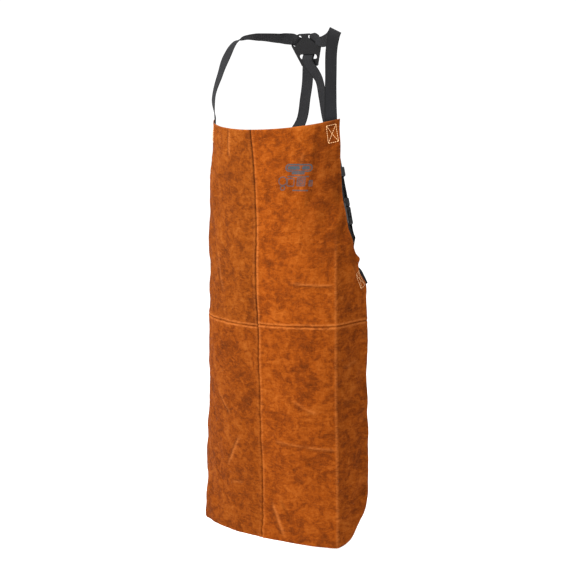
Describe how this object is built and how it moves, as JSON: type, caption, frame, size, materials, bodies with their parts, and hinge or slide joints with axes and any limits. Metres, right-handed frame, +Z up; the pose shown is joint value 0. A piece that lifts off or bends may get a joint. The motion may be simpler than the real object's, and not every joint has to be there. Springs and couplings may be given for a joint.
{
  "type": "welding apron",
  "caption": "Bib apron of split leather panels that hangs in a bent sheet, with cross-back webbing straps, a slotted cross plate, hip buckles and strap sliders.",
  "frame": {"origin": "midway between the two places where the straps rest on the wearer's shoulders", "axes": "+Z up, +X to the wearer's left, -Y to the wearer's front; the apron hangs in its worn shape"},
  "size_m": [0.4741, 0.2711, 1.2382],
  "materials": {
    "leather": "rough suede split leather, mottled tan to rust",
    "seam_thread": "matt cream sewing thread",
    "pale_thread": "matt off-white sewing thread",
    "webbing": "woven charcoal webbing, matt",
    "plate": "matt black moulded sheet",
    "buckle_plastic": "black moulded plastic, satin"
  },
  "bodies": {
    "apron": {"upper_left_panel": "leather", "lower_left_panel": "leather", "left_waist_seam": "seam_thread", "left_shoulder_strap": "webbing", "left_bib_stitching": "seam_thread", "left_hip_strap": "webbing", "left_hip_stitching": "seam_thread", "left_female_buckle": "buckle_plastic", "left_loop_bartack": "pale_thread", "upper_right_panel": "leather", "lower_right_panel": "leather", "right_waist_seam": "seam_thread", "right_shoulder_strap": "webbing", "right_bib_stitching": "seam_thread", "right_hip_strap": "webbing", "right_hip_stitching": "seam_thread", "right_female_buckle": "buckle_plastic", "right_loop_bartack": "pale_thread", "centre_seam": "seam_thread", "cross_plate": "plate"},
    "left_release": {"left_male_buckle": "buckle_plastic", "left_doubled_end": "webbing"},
    "left_outer_squeeze": {"left_outer_arm": "buckle_plastic"},
    "left_inner_squeeze": {"left_inner_arm": "buckle_plastic"},
    "left_adjuster": {"left_slider": "buckle_plastic", "left_end_bartack": "pale_thread"},
    "right_release": {"right_male_buckle": "buckle_plastic", "right_doubled_end": "webbing"},
    "right_outer_squeeze": {"right_outer_arm": "buckle_plastic"},
    "right_inner_squeeze": {"right_inner_arm": "buckle_plastic"},
    "right_adjuster": {"right_slider": "buckle_plastic", "right_end_bartack": "pale_thread"}
  },
  "joints": [
    {"name": "left_buckle_release", "type": "slide", "parent": "apron", "child": "left_release", "axis": [-0.2897, 0.1556, 0.9444], "range_m": [0, 0.035], "deforming": ["right_shoulder_strap", "left_outer_arm", "left_inner_arm"]},
    {"name": "left_outer_arm_squeeze", "type": "hinge", "parent": "left_release", "child": "left_outer_squeeze", "pos_m": [0.12191, 0.08134, -0.41476], "axis": [0.6063, 0.7933, 0.0553], "range_deg": [0, 7], "stiffness_Nm_per_rad": 0.05},
    {"name": "left_inner_arm_squeeze", "type": "hinge", "parent": "left_release", "child": "left_inner_squeeze", "pos_m": [0.10562, 0.09429, -0.42189], "axis": [-0.6063, -0.7933, -0.0553], "range_deg": [0, 7], "stiffness_Nm_per_rad": 0.05},
    {"name": "left_strap_adjust", "type": "slide", "parent": "left_release", "child": "left_adjuster", "axis": [-0.2897, 0.1556, 0.9444], "range_m": [-0.025, 0.035], "deforming": ["left_doubled_end", "right_shoulder_strap"]},
    {"name": "right_buckle_release", "type": "slide", "parent": "apron", "child": "right_release", "axis": [0.2897, 0.1556, 0.9444], "range_m": [0, 0.035], "deforming": ["left_shoulder_strap", "right_outer_arm", "right_inner_arm"]},
    {"name": "right_outer_arm_squeeze", "type": "hinge", "parent": "right_release", "child": "right_outer_squeeze", "pos_m": [-0.12191, 0.08134, -0.41476], "axis": [0.6063, -0.7933, -0.0553], "range_deg": [0, 7], "stiffness_Nm_per_rad": 0.05},
    {"name": "right_inner_arm_squeeze", "type": "hinge", "parent": "right_release", "child": "right_inner_squeeze", "pos_m": [-0.10562, 0.09429, -0.42189], "axis": [-0.6063, 0.7933, 0.0553], "range_deg": [0, 7], "stiffness_Nm_per_rad": 0.05},
    {"name": "right_strap_adjust", "type": "slide", "parent": "right_release", "child": "right_adjuster", "axis": [0.2897, 0.1556, 0.9444], "range_m": [-0.025, 0.035], "deforming": ["right_doubled_end", "left_shoulder_strap"]}
  ]
}
